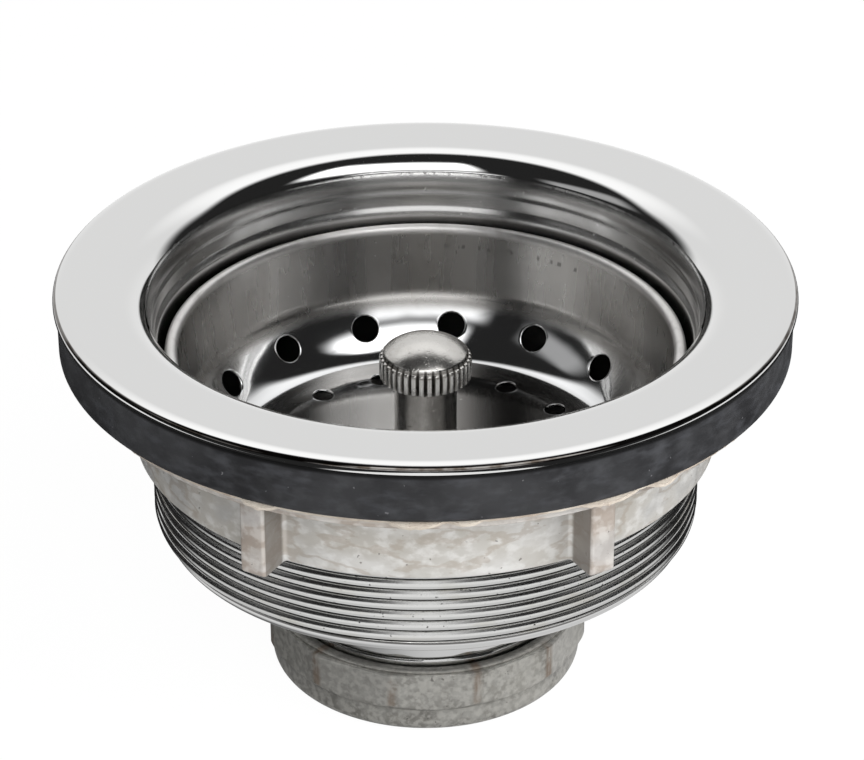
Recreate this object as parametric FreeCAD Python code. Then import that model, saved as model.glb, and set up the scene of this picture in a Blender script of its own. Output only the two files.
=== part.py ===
"""Basket strainer waste for a kitchen sink, standing upright on its coupling nut.

Millimetres. The origin is the centre of the seat, the plane where the flange's turned-down
edge meets the sink, and +Z points up out of the sink along the axis of the waste.
"""
import math
import os

import FreeCAD
import Part

# Strainer body, drawn from one stainless sheet
flange_radius = 57.15
body_sheet = 0.7
lip_roll = 1.4
dish_angle = 3.0
mouth_roll = 5.4
flange_width = 14.75
collar_length = 3.2
collar_step = 1.5
wall_thread_depth = 0.9
wall_thread_pitch = 1.814
wall_thread_turns = 16
wall_corner = 2.2
funnel_slope = 28.0
neck_over_tailpiece = 3.8
neck_thread_depth = 0.95
neck_thread_pitch = 2.209
neck_thread_turns = 3
neck_thread_start = 5.32
neck_shoulder_share = 0.56
neck_wall = 1.2
thread_foot_share = 0.34
thread_crest_share = 0.12

# Rings clamped under the sink
gasket_thickness = 7.9
gasket_edge = 0.7
gasket_inset = 0.55
friction_thickness = 0.7
friction_inset = 1.15
seat_gap = 0.3

# Locknut, a zinc casting
locknut_height = 15.6
locknut_inset = 3.15
locknut_flange = 2.0
locknut_cove = 5.5
barrel_wall = 2.3
lug_count = 6
lug_width = 4.1
lug_reach = 5.5
lug_edge = 0.5
lug_phase = 0.5

# Coupling nut, a zinc casting
nut_flat_count = 12
nut_phase = 18.5
nut_wall = 2.3
nut_exposed_neck = 5.42
nut_boss_height = 0.3
nut_boss_inset = 0.3
nut_flat_height = 6.9
nut_collar_inset = 0.4
nut_collar_edge = 2.2
nut_lip = 3.05
tailpiece_radius = 19.05
tail_washer_thickness = 3.0

# Basket, pressed and punched from stainless sheet
basket_sheet = 0.6
basket_clearance = 1.0
rim_bead = 0.95
rim_depth = 9.5
wall_slope = 84.0
wall_length = 10.0
ridge_bend = 3.0
bowl_slope = 50.0
bowl_length = 6.8
floor_bend = 10.0
hole_count = 15
hole_phase = 11.0
large_hole = 4.4
small_hole = 3.3
large_hole_drop = 4.45
small_hole_offset = 0.7
punch_length = 3.6

# Knob and post, one plated casting
knob_radius = 7.25
knurl_depth = 0.45
knurl_count = 36
knurl_height = 3.8
dome_shoulder = 1.6
crown_slope = 30.0
dome_inset = 0.3
knob_rise = 14.6
stem_radius = 4.9
shank_radius = 3.0

# Stopper stack and crossbar
spacer_wall = 2.9
plate_radius = 22.0
plate_thickness = 1.0
seal_thickness = 3.2
seal_lip_reach = 1.6
seal_lip_rise = 2.5
washer_radius = 12.0
washer_thickness = 1.0
post_nut_sides = 6
nut_across_flats = 10.0
nut_thickness = 3.2
clip_wall = 0.45
clip_length = 5.5
clip_slot = 1.0
tail_tip = 0.8
crossbar_thickness = 1.2
crossbar_hub = 7.0
crossbar_arm = 5.0
crossbar_arm_count = 4
crossbar_phase = 45.0
crossbar_tab = 3.0
crossbar_rise = 0.55

# Clearances
thread_clearance = 0.2
ring_clearance = 0.3
pipe_clearance = 0.25
slip_clearance = 0.1
weld_gap = 0.05
seal_gap = 0.3

AXIS = FreeCAD.Vector(0, 0, 1)
ORIGIN = FreeCAD.Vector(0, 0, 0)


def at(radius, height):
    """A point of a profile, at a radius from the axis."""
    return FreeCAD.Vector(radius, 0, height)


def around(centre, radius, degrees):
    """A point of a profile on a circle about a centre."""
    angle = math.radians(degrees)
    return centre + FreeCAD.Vector(math.cos(angle), 0, math.sin(angle)) * radius


def arc(centre, radius, start, end):
    """An arc step of a profile: a point half way along it, and its end."""
    return around(centre, radius, (start + end) / 2), around(centre, radius, end)


def lathe(start, *steps):
    """A turned solid. Each step of its profile is a point or an arc."""
    edges = []
    here = start
    for step in steps + (start,):
        if isinstance(step, tuple):
            edges.append(Part.Arc(here, *step).toShape())
            here = step[1]
        else:
            edges.append(Part.makeLine(here, step))
            here = step
    return Part.Face(Part.Wire(edges)).revolve(ORIGIN, AXIS, 360)


def ring(inner, outer, low, high):
    """A flat ring."""
    return lathe(at(inner, low), at(outer, low), at(outer, high), at(inner, high))


def turned(shape, degrees):
    """A copy of a shape, turned about the axis."""
    copy = shape.copy()
    copy.rotate(ORIGIN, AXIS, degrees)
    return copy


def prism(sides, corner_radius, low, high, phase=0.0):
    """An upright prism with a regular outline."""
    corners = []
    for index in range(sides + 1):
        angle = math.radians(phase + 360.0 * index / sides)
        corners.append(FreeCAD.Vector(corner_radius * math.cos(angle), corner_radius * math.sin(angle), low))
    face = Part.Face(Part.makePolygon(corners))
    return face.extrude(AXIS * (high - low))


def thread_rings(crest, depth, pitch, turns, first_crest):
    """The outline of a thread from its lowest crest upwards, with its turns drawn as rings."""
    foot = thread_foot_share * pitch
    flat = thread_crest_share * pitch
    points = []
    for index in range(turns):
        middle = first_crest + index * pitch
        points.append(at(crest - depth, middle - foot))
        points.append(at(crest, middle - flat))
        points.append(at(crest, middle + flat))
        points.append(at(crest - depth, middle + foot))
    return points


# Strainer body
lip_centre = at(flange_radius - lip_roll, 0)
dish = math.radians(dish_angle)
mouth_fall = (flange_width - lip_roll - mouth_roll) * math.sin(dish)
mouth_drop = (mouth_roll - lip_roll + mouth_fall) / math.cos(dish)
mouth_centre = at(flange_radius - flange_width + mouth_roll, -mouth_drop)
up = 90 + dish_angle
collar_inner = flange_radius - flange_width
collar_outer = collar_inner + body_sheet
wall_thread_crest = collar_outer
wall_root = wall_thread_crest - wall_thread_depth
wall_inner = wall_root - body_sheet
collar_bottom = -mouth_drop - collar_length
thread_top = collar_bottom - collar_step
lowest_wall_crest = thread_top - (wall_thread_turns - 0.5) * wall_thread_pitch
wall_bottom = lowest_wall_crest - wall_thread_pitch / 2
corner_centre = at(wall_root - wall_corner, wall_bottom)
funnel_normal = funnel_slope - 90
funnel_rise = math.tan(math.radians(funnel_slope))
funnel_top = around(corner_centre, wall_corner, funnel_normal)
funnel_top_inner = around(corner_centre, wall_corner - body_sheet, funnel_normal)
neck_thread_crest = tailpiece_radius + neck_over_tailpiece
neck_root = neck_thread_crest - neck_thread_depth
neck_inner = neck_root - neck_wall
neck_top = funnel_top.z - (funnel_top.x - neck_thread_crest) * funnel_rise
neck_top_inner = funnel_top_inner.z - (funnel_top_inner.x - neck_inner) * funnel_rise
highest_neck_crest = neck_top - neck_thread_start
neck_shoulder = highest_neck_crest + neck_shoulder_share * neck_thread_pitch
lowest_neck_crest = highest_neck_crest - (neck_thread_turns - 1) * neck_thread_pitch
neck_bottom = lowest_neck_crest - neck_thread_pitch / 2

neck_rings = thread_rings(
    neck_thread_crest, neck_thread_depth, neck_thread_pitch, neck_thread_turns, lowest_neck_crest)
wall_rings = thread_rings(
    wall_thread_crest, wall_thread_depth, wall_thread_pitch, wall_thread_turns, lowest_wall_crest)
strainer_body = lathe(
    at(flange_radius, 0),
    arc(lip_centre, lip_roll, 0, up),
    around(mouth_centre, mouth_roll, up),
    arc(mouth_centre, mouth_roll, up, 180),
    at(collar_inner, collar_bottom),
    at(wall_inner, thread_top),
    at(wall_inner, wall_bottom),
    arc(corner_centre, wall_corner - body_sheet, 0, funnel_normal),
    at(neck_inner, neck_top_inner),
    at(neck_inner, neck_bottom),
    at(neck_root, neck_bottom),
    *neck_rings,
    at(neck_thread_crest, neck_shoulder),
    at(neck_thread_crest, neck_top),
    funnel_top,
    arc(corner_centre, wall_corner, funnel_normal, 0),
    *wall_rings,
    at(wall_root, thread_top),
    at(collar_outer, collar_bottom),
    at(collar_outer, -mouth_drop),
    arc(mouth_centre, mouth_roll - body_sheet, 180, up),
    around(lip_centre, lip_roll - body_sheet, up),
    arc(lip_centre, lip_roll - body_sheet, up, 0))

# Rubber gasket and fibre friction washer under the flange
gasket_top = -seat_gap
gasket_bottom = gasket_top - gasket_thickness
gasket_outer = flange_radius - gasket_inset
mouth_shadow = math.sqrt((mouth_roll - body_sheet) ** 2 - (gasket_top + mouth_drop) ** 2)
gasket_inner = mouth_centre.x - mouth_shadow + ring_clearance
rubber_gasket = lathe(
    at(gasket_inner, gasket_bottom),
    at(gasket_outer - gasket_edge, gasket_bottom),
    arc(at(gasket_outer - gasket_edge, gasket_bottom + gasket_edge), gasket_edge, -90, 0),
    at(gasket_outer, gasket_top - gasket_edge),
    arc(at(gasket_outer - gasket_edge, gasket_top - gasket_edge), gasket_edge, 0, 90),
    at(gasket_inner, gasket_top))
friction_bottom = gasket_bottom - friction_thickness
friction_washer = ring(
    wall_thread_crest + ring_clearance, flange_radius - friction_inset, friction_bottom, gasket_bottom)

# Locknut with a flange, a coved barrel and spanner lugs
locknut_top = friction_bottom
locknut_bottom = locknut_top - locknut_height
locknut_bore = wall_thread_crest + thread_clearance
barrel_outer = locknut_bore + barrel_wall
locknut_outer = flange_radius - locknut_inset
cove_centre = at(barrel_outer + locknut_cove, locknut_top - locknut_flange - locknut_cove)
locknut = lathe(
    at(locknut_bore, locknut_bottom),
    at(barrel_outer, locknut_bottom),
    at(barrel_outer, cove_centre.z),
    arc(cove_centre, locknut_cove, 180, 90),
    at(locknut_outer, locknut_top - locknut_flange),
    at(locknut_outer, locknut_top),
    at(locknut_bore, locknut_top))
lug_root = barrel_outer - barrel_wall / 2
lug_tip = barrel_outer + lug_reach
lug = Part.makeBox(
    lug_tip - lug_root, lug_width, locknut_height - locknut_flange / 2,
    FreeCAD.Vector(lug_root, -lug_width / 2, locknut_bottom))
tip_edges = [edge for edge in lug.Edges if edge.CenterOfMass.x > lug_tip - lug_edge / 2]
tip_edges = [edge for edge in tip_edges if edge.CenterOfMass.z < locknut_top - locknut_flange]
lug = lug.makeFillet(lug_edge, tip_edges)
lugs = [turned(lug, lug_phase + 360.0 * index / lug_count) for index in range(lug_count)]
locknut = locknut.fuse(lugs).removeSplitter()

# Coupling nut with flats, and the sealing washer on its lip
nut_bore = neck_thread_crest + thread_clearance
nut_apothem = nut_bore + nut_wall
nut_corner = nut_apothem / math.cos(math.pi / nut_flat_count)
nut_top = neck_top - nut_exposed_neck
flats_top = nut_top - nut_boss_height
flats_bottom = flats_top - nut_flat_height
tail_washer_top = neck_bottom - slip_clearance
lip_top = tail_washer_top - tail_washer_thickness
nut_bottom = lip_top - nut_lip
collar_radius = nut_apothem - nut_collar_inset
tail_bore = tailpiece_radius + pipe_clearance
collar_edge_centre = at(collar_radius - nut_collar_edge, nut_bottom + nut_collar_edge)
nut_boss_radius = nut_apothem - nut_boss_inset
nut_round = lathe(
    at(tail_bore, nut_bottom),
    at(collar_radius - nut_collar_edge, nut_bottom),
    arc(collar_edge_centre, nut_collar_edge, -90, 0),
    at(collar_radius, flats_top),
    at(nut_boss_radius, flats_top),
    at(nut_boss_radius, nut_top),
    at(nut_bore, nut_top),
    at(nut_bore, lip_top),
    at(tail_bore, lip_top))
nut_flats = prism(nut_flat_count, nut_corner, flats_bottom, flats_top, nut_phase)
nut_flats = nut_flats.cut(Part.makeCylinder(nut_bore, nut_flat_height, at(0, flats_bottom)))
coupling_nut = nut_round.fuse(nut_flats).removeSplitter()
tailpiece_washer = ring(tail_bore + ring_clearance, nut_bore - ring_clearance, lip_top, tail_washer_top)

# Basket, followed down its inner face from the rim to the floor
rim_radius = wall_inner - basket_clearance
rim_centre = at(rim_radius - rim_bead, -rim_depth - rim_bead)
rim_inside = wall_slope + 90
rim_end = rim_inside + math.degrees(math.acos((rim_bead - basket_sheet) / rim_bead)) - 360
wall_top = around(rim_centre, rim_bead, rim_inside)
wall_end = around(wall_top, wall_length, wall_slope + 180)
ridge_centre = around(wall_end, ridge_bend, wall_slope + 90)
bowl_top = around(ridge_centre, ridge_bend, bowl_slope - 90)
bowl_end = around(bowl_top, bowl_length, bowl_slope + 180)
bend_centre = around(bowl_end, floor_bend, bowl_slope + 90)
floor = bend_centre.z - floor_bend
floor_under = floor - basket_sheet
shank_hole = shank_radius + slip_clearance
basket_shell = lathe(
    at(shank_hole, floor),
    at(bend_centre.x, floor),
    arc(bend_centre, floor_bend, -90, bowl_slope - 90),
    bowl_top,
    arc(ridge_centre, ridge_bend, bowl_slope - 90, wall_slope - 90),
    wall_top,
    arc(rim_centre, rim_bead, rim_inside, rim_end),
    around(wall_end, basket_sheet, wall_slope - 90),
    arc(ridge_centre, ridge_bend + basket_sheet, wall_slope - 90, bowl_slope - 90),
    around(bowl_end, basket_sheet, bowl_slope - 90),
    arc(bend_centre, floor_bend + basket_sheet, bowl_slope - 90, -90),
    at(shank_hole, floor_under))
large_centre = around(bowl_top, large_hole_drop, bowl_slope + 180)
bowl_normal = around(ORIGIN, 1, bowl_slope + 90)
large_punch = Part.makeCylinder(
    large_hole / 2, punch_length, large_centre - bowl_normal * (punch_length / 2), bowl_normal)
small_centre = at(bend_centre.x + small_hole_offset, floor_under - punch_length / 2)
small_punch = Part.makeCylinder(small_hole / 2, 2 * punch_length, small_centre, AXIS)
punches = []
for index in range(hole_count):
    angle = hole_phase + 360.0 * index / hole_count
    punches.append(turned(large_punch, angle))
    punches.append(turned(small_punch, angle))
basket_bowl = basket_shell.cut(punches)

# Crossbar across the outlet, with tabs welded to the neck
tab_end = neck_bottom + crossbar_rise
crossbar_bottom = tab_end + crossbar_tab
crossbar_outer = neck_inner - weld_gap
hub_hole = shank_radius + clip_wall + ring_clearance
arm = Part.makeBox(
    crossbar_outer, crossbar_arm, crossbar_thickness + crossbar_tab,
    FreeCAD.Vector(0, -crossbar_arm / 2, tab_end))
arm = arm.common(Part.makeCylinder(crossbar_outer, crossbar_thickness + crossbar_tab, at(0, tab_end)))
arm = arm.cut(Part.makeCylinder(crossbar_outer - crossbar_thickness, crossbar_tab, at(0, tab_end)))
arm_angles = [crossbar_phase + 360.0 * index / crossbar_arm_count for index in range(crossbar_arm_count)]
arms = [turned(arm, angle) for angle in arm_angles]
hub = Part.makeCylinder(crossbar_hub, crossbar_thickness, at(0, crossbar_bottom))
hole = Part.makeCylinder(hub_hole, crossbar_thickness, at(0, crossbar_bottom))
post_crossbar = hub.fuse(arms).cut(hole).removeSplitter()

# Stack on the post, from the clip in the crossbar up to the basket's floor
clip_bottom = crossbar_bottom + (crossbar_thickness - clip_length) / 2
clip_top = clip_bottom + clip_length
post_nut_bottom = clip_top + seal_gap
washer_bottom = post_nut_bottom + nut_thickness
seal_bottom = washer_bottom + washer_thickness
seal_top = seal_bottom + seal_thickness
spacer_bottom = seal_top + plate_thickness
tail_end = clip_bottom - tail_tip
seal_radius = neck_inner + (seal_bottom - seal_gap - neck_top_inner) / funnel_rise
spacer_sleeve = ring(shank_hole, shank_hole + spacer_wall, spacer_bottom, floor_under)
seal_plate = ring(shank_hole, plate_radius, seal_top, spacer_bottom)
stopper_seal = lathe(
    at(shank_hole, seal_bottom),
    at(seal_radius, seal_bottom),
    at(seal_radius + seal_lip_reach, seal_bottom + seal_lip_rise),
    at(seal_radius, seal_top),
    at(shank_hole, seal_top))
seal_washer = ring(shank_hole, washer_radius, washer_bottom, seal_bottom)
post_nut_corner = nut_across_flats / 2 / math.cos(math.pi / post_nut_sides)
post_nut = prism(post_nut_sides, post_nut_corner, post_nut_bottom, washer_bottom)
post_nut = post_nut.cut(Part.makeCylinder(shank_radius + weld_gap, nut_thickness, at(0, post_nut_bottom)))
post_clip = ring(shank_radius + weld_gap, shank_radius + clip_wall, clip_bottom, clip_top)
slot = Part.makeBox(2 * shank_radius, clip_slot, clip_length, FreeCAD.Vector(0, -clip_slot / 2, clip_bottom))
post_clip = post_clip.cut(slot)

# Knob and post
knob_bottom = floor + knob_rise
knurl_top = knob_bottom + knurl_height
knurl_root = knob_radius - knurl_depth
dome_radius = knurl_root - dome_inset
crown_edge = 90 - crown_slope
shoulder_centre = at(dome_radius - dome_shoulder, knurl_top)
crown_foot = around(shoulder_centre, dome_shoulder, crown_edge)
crown_radius = crown_foot.x / math.sin(math.radians(crown_slope))
crown_centre = around(crown_foot, crown_radius, crown_edge + 180)
knob_post = lathe(
    at(0, tail_end),
    at(shank_radius - tail_tip, tail_end),
    at(shank_radius, tail_end + tail_tip),
    at(shank_radius, floor),
    at(stem_radius, floor),
    at(stem_radius, knob_bottom),
    at(knurl_root, knob_bottom),
    at(knurl_root, knurl_top),
    at(dome_radius, knurl_top),
    arc(shoulder_centre, dome_shoulder, 0, crown_edge),
    arc(crown_centre, crown_radius, crown_edge, 90))
knurl_points = []
for index in range(2 * knurl_count + 1):
    angle = math.pi * index / knurl_count
    reach = knob_radius if index % 2 else knurl_root - knurl_depth / 2
    knurl_points.append(FreeCAD.Vector(reach * math.cos(angle), reach * math.sin(angle), knob_bottom))
knurl = Part.Face(Part.makePolygon(knurl_points)).extrude(AXIS * knurl_height)
knob_post = knob_post.fuse(knurl).removeSplitter()

nodes = {
    "strainer_body": strainer_body,
    "post_crossbar": post_crossbar,
    "rubber_gasket": rubber_gasket,
    "friction_washer": friction_washer,
    "locknut": locknut,
    "coupling_nut": coupling_nut,
    "tailpiece_washer": tailpiece_washer,
    "basket_bowl": basket_bowl,
    "knob_post": knob_post,
    "spacer_sleeve": spacer_sleeve,
    "seal_plate": seal_plate,
    "stopper_seal": stopper_seal,
    "seal_washer": seal_washer,
    "post_nut": post_nut,
    "post_clip": post_clip,
}
os.makedirs("parts", exist_ok=True)
for name, shape in nodes.items():
    shape.exportStep("parts/" + name + ".step")
    box = shape.BoundBox
    print(name, shape.isValid(), len(shape.Solids), "volume %.1f" % shape.Volume,
          "z %.2f to %.2f" % (box.ZMin, box.ZMax), "across %.2f" % box.XLength)
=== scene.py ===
"""Looks of the basket strainer waste, in metres, in the frame of its solids.

The file follows the waste as it is put together: the drawn body, the rings and nuts on its
outside, the basket with its knob and stopper, and last the studio that it stands in.
"""
import math

import bpy
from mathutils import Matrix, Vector, noise


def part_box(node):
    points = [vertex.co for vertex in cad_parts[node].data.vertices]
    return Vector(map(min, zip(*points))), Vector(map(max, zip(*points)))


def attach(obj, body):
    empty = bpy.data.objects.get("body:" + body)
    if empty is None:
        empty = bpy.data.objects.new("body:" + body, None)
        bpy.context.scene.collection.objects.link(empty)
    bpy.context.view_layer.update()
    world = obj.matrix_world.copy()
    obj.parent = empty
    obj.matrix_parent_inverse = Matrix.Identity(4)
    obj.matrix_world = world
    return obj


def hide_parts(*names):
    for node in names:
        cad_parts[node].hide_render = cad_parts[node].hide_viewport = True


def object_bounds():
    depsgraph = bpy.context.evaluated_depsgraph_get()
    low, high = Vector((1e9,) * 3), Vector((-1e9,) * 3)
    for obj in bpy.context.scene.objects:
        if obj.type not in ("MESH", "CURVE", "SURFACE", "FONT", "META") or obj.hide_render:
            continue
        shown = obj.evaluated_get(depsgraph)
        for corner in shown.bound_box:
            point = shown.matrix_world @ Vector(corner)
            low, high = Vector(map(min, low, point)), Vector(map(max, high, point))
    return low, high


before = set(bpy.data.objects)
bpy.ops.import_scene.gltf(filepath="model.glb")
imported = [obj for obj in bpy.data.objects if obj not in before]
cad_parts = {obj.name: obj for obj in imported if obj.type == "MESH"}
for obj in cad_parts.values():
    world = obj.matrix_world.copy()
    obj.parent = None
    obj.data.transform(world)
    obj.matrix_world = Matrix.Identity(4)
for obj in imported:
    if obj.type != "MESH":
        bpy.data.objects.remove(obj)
cad_low, cad_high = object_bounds()


# Strainer body: one cup drawn from stainless sheet, with a dished flange, a rolled mouth, a wall
# with a rolled thread, a funnel and a threaded outlet neck. The flange and mouth are buffed to a
# mirror, and the inside of the wall keeps the satin grain of the drawing.
class Value:
    """An output of a node. Arithmetic on it adds Math nodes to its tree."""

    def __init__(self, tree, socket=None):
        self.tree = tree
        self.socket = socket

    def node(self, kind, settings=None, inputs=None, output=0):
        """Adds a node: its settings are set first, then the values or links of its sockets."""
        made = self.tree.nodes.new(kind)
        for name, setting in (settings or {}).items():
            setattr(made, name, setting)
        for name, source in (inputs or {}).items():
            if isinstance(source, Value):
                self.tree.links.new(source.socket, made.inputs[name])
            else:
                made.inputs[name].default_value = source
        return Value(self.tree, made.outputs[output])

    def other(self, output):
        """Another output of the same node."""
        return Value(self.tree, self.socket.node.outputs[output])

    def into(self, shader, name):
        """Feeds a socket of a node that exists."""
        self.tree.links.new(self.socket, shader.inputs[name])

    def math(self, operation, first, second=0.0):
        """An operation of a Math node."""
        return self.node("ShaderNodeMath", {"operation": operation}, {0: first, 1: second})

    def __add__(self, other):
        return self.math("ADD", self, other)

    def __sub__(self, other):
        return self.math("SUBTRACT", self, other)

    def __rsub__(self, other):
        return self.math("SUBTRACT", other, self)

    def __mul__(self, other):
        return self.math("MULTIPLY", self, other)

    def __truediv__(self, other):
        return self.math("DIVIDE", self, other)

    def __abs__(self):
        return self.math("ABSOLUTE", self)

    __radd__ = __add__
    __rmul__ = __mul__

    def larger(self, other):
        """The larger of two values."""
        return self.math("MAXIMUM", self, other)

    def smaller(self, other):
        """The smaller of two values."""
        return self.math("MINIMUM", self, other)

    def between(self, low, high):
        """0 up to low and 1 from high on, with a smooth rise."""
        return self.node(
            "ShaderNodeMapRange", {"interpolation_type": "SMOOTHSTEP"},
            {"Value": self, "From Min": low, "From Max": high})


mm = 0.001
weld_reach = 0.002


def arc(centre, radius, start, end, steps):
    """Points of a round stretch of an outline, with its angles in degrees."""
    angles = [math.radians(start + (end - start) * step / steps) for step in range(steps + 1)]
    return [(centre[0] + radius * math.cos(a), centre[1] + radius * math.sin(a)) for a in angles]


def piece(name, points, faces):
    """A new object at the origin, smooth shaded, from points in millimetres."""
    mesh = bpy.data.meshes.new(name)
    mesh.from_pydata([Vector(point) * mm for point in points], [], faces)
    mesh.shade_smooth()
    made = bpy.data.objects.new(name, mesh)
    bpy.context.scene.collection.objects.link(made)
    return made


def turned(name, outline, columns):
    """A closed outline of radius and height, turned about the axis. Its seam is left open."""
    points = []
    for radius, height in outline:
        for column in range(columns + 1):
            angle = 2 * math.pi * column / columns
            points.append((radius * math.cos(angle), radius * math.sin(angle), height))
    faces = []
    wide = columns + 1
    for row in range(len(outline)):
        here = row * wide
        there = (row + 1) % len(outline) * wide
        faces += [(here + c, here + c + 1, there + c + 1, there + c) for c in range(columns)]
    return piece(name, points, faces)


def mark_rows(made, name, values, columns):
    """Gives every row of a turned piece a number that its tree or material can read."""
    marks = made.data.attributes.new(name, "FLOAT", "POINT")
    marks.data.foreach_set("value", [value for value in values for column in range(columns + 1)])


def shape_tree(name, sizes):
    """A new Geometry Nodes tree with named sizes, as the first value of its tree and its inputs."""
    tree = bpy.data.node_groups.new(name, "GeometryNodeTree")
    tree.interface.new_socket("Geometry", in_out="INPUT", socket_type="NodeSocketGeometry")
    for size in sizes:
        tree.interface.new_socket(size, in_out="INPUT", socket_type="NodeSocketFloat")
    tree.interface.new_socket("Finish", in_out="INPUT", socket_type="NodeSocketMaterial")
    tree.interface.new_socket("Geometry", in_out="OUTPUT", socket_type="NodeSocketGeometry")
    entry = tree.nodes.new("NodeGroupInput")
    return Value(tree), {socket.name: Value(tree, socket) for socket in entry.outputs if socket.name}


def end_tree(geometry, finish, weld=True):
    """Realizes the tree's copies, welds what it made if weld is set, and gives it its material."""
    welded = geometry.node("GeometryNodeRealizeInstances", {}, {"Geometry": geometry})
    welded = welded.node(
        "GeometryNodeMergeByDistance", {},
        {"Geometry": welded, "Selection": weld, "Distance": weld_reach * mm})
    painted = welded.node("GeometryNodeSetMaterial", {}, {"Geometry": welded, "Material": finish})
    leave = geometry.tree.nodes.new("NodeGroupOutput")
    painted.into(leave, "Geometry")


def shaped(made, start, sizes, crease):
    """Runs a tree on a piece and keeps the result as its plain mesh, with edges creased by angle."""
    modifier = made.modifiers.new(start.tree.name, "NODES")
    modifier.node_group = start.tree
    for item in start.tree.interface.items_tree:
        if item.in_out == "INPUT" and item.name in sizes:
            modifier[item.identifier] = sizes[item.name]
    graph = bpy.context.evaluated_depsgraph_get()
    mesh = bpy.data.meshes.new_from_object(
        made.evaluated_get(graph), preserve_all_data_layers=True, depsgraph=graph)
    made.modifiers.clear()
    made.data = mesh
    mesh.shade_smooth()
    mesh.set_sharp_from_angle(angle=math.radians(crease))


def new_finish(name):
    """A new material, with the first value of its tree and its surface shader."""
    material = bpy.data.materials.new(name)
    material.use_nodes = True
    return material, Value(material.node_tree), material.node_tree.nodes["Principled BSDF"]


def grain(start, place, scale, detail=3.0, stretch=(1, 1, 1)):
    """Cloudy grain, stretched along the axes, between 0 and 1."""
    fitted = start.node("ShaderNodeMapping", {}, {"Vector": place, "Scale": stretch})
    return start.node("ShaderNodeTexNoise", {}, {"Vector": fitted, "Scale": scale, "Detail": detail})


def blend(start, share, first, second):
    """A colour between two others."""
    return start.node("ShaderNodeMix", {"data_type": "RGBA"}, {0: share, 6: first, 7: second}, output=2)


def relief(start, height, depth, strength=1.0):
    """A bump of a height in metres."""
    return start.node("ShaderNodeBump", {}, {"Height": height, "Distance": depth, "Strength": strength})


def round_place(start):
    """Object coordinates, the radius from the axis and the height."""
    place = start.node("ShaderNodeTexCoord", output="Object")
    across = start.node("ShaderNodeSeparateXYZ", {}, {"Vector": place})
    along = across.other("Y")
    squares = across * across + along * along
    return place, squares.math("SQRT", squares), across.other("Z")


def mark(start, name):
    """A number that the mesh carries."""
    return start.node("ShaderNodeAttribute", {"attribute_name": name}, output="Fac")


body_low, body_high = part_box("strainer_body")
flange_radius = body_high.x / mm
neck_bottom = body_low.z / mm
body_sheet = 0.7
lip_roll = body_high.z / mm
edge_roll = 1.0
edge_drop = 0.17
brow_roll = 3.7
brow_start = 68.0
dish = 3.0
flange_width = 14.75
mouth_roll = 5.4
mouth_radius = flange_radius - flange_width
mouth_drop = 4.42
buff_line = 151.0
buff_half = 1.5
buff_groove = 0.05
wall_step = 0.9
wall_radius = mouth_radius - wall_step
first_ease = {"drop": 0.05, "length": 1.0, "share": 0.3, "before": 0.0}
second_ease = {"drop": 2.5, "length": 1.6, "share": 0.7, "before": 0.3}
straight_wall = 12.0
plain_band = 3.2
thread_drop = 4.7
thread_depth = 0.9
thread_crest = mouth_radius + body_sheet
thread_root = thread_crest - thread_depth
thread_pitch = 1.814
thread_turns = 16
thread_runout = 0.8
thread_begin = 0.28
thread_groove = 0.11
thread_top = -mouth_drop - thread_drop
wall_bottom = thread_top - thread_turns * thread_pitch
wall_corner = 2.2
funnel_slope = 28.0
neck_depth = 0.95
neck_crest = 22.85
neck_root = neck_crest - neck_depth
neck_inner = 20.7
neck_pitch = 2.209
neck_turns = 3
neck_overrun = 0.06
neck_runout = 0.3
neck_begin = 0.75
neck_groove = 0.14
shoulder_gap = 0.15
shoulder_height = 1.5
groove_floor = 0.02
groove_flank = 0.75
crest_crown = 0.5
body_crease = 38
columns = 216
wall_turn = [0.0, 0.03, 0.06, 0.09, 0.12, 0.16, 0.33, 0.5, 0.67, 0.84, 0.88, 0.91, 0.94, 0.97]
neck_turn = [0.0, 0.03, 0.06, 0.09, 0.12, 0.16, 0.3, 0.5, 0.7, 0.84, 0.88, 0.91, 0.94, 0.97]
MIRROR, SATIN, THREADED = 0.0, 1.0, 2.0
NO_THREAD, WALL_THREAD, NECK_THREAD = 0.0, 1.0, 2.0

outline, finishes, bands, climbs = [], [], [], []


def add_rows(points, finish_mark, band=NO_THREAD, climb=0.0):
    """Adds rows to the body's outline, with the marks that its tree and material read."""
    for point in points:
        outline.append(point)
        finishes.append(finish_mark)
        bands.append(band)
        climbs.append(climb)


def add_thread(root, low, turns, pitch, band, parts):
    """Adds the rows of a thread, from one turn below its low end to one above its high end."""
    for turn in range(turns + 2):
        for part in parts:
            add_rows([(root, low + (turn + part) * pitch)], THREADED, band, turn + part)


flat = 90 + dish
lip_centre = (flange_radius - lip_roll, 0.0)
edge_centre = (flange_radius - edge_roll, edge_drop)
brow_centre = arc(edge_centre, edge_roll - brow_roll, brow_start, brow_start, 1)[0]
mouth_centre = (mouth_radius + mouth_roll, -mouth_drop)
corner_centre = (thread_root - wall_corner, wall_bottom)
funnel_end = funnel_slope - 90
funnel_rise = math.tan(math.radians(funnel_slope))
funnel_out = arc(corner_centre, wall_corner, funnel_end, 0, 8)
funnel_in = arc(corner_centre, wall_corner - body_sheet, 0, funnel_end, 8)
neck_top = funnel_out[0][1] - (funnel_out[0][0] - neck_crest) * funnel_rise
neck_top_inside = funnel_in[-1][1] - (funnel_in[-1][0] - neck_inner) * funnel_rise
neck_shoulder = neck_bottom + (neck_turns + neck_overrun) * neck_pitch

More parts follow.
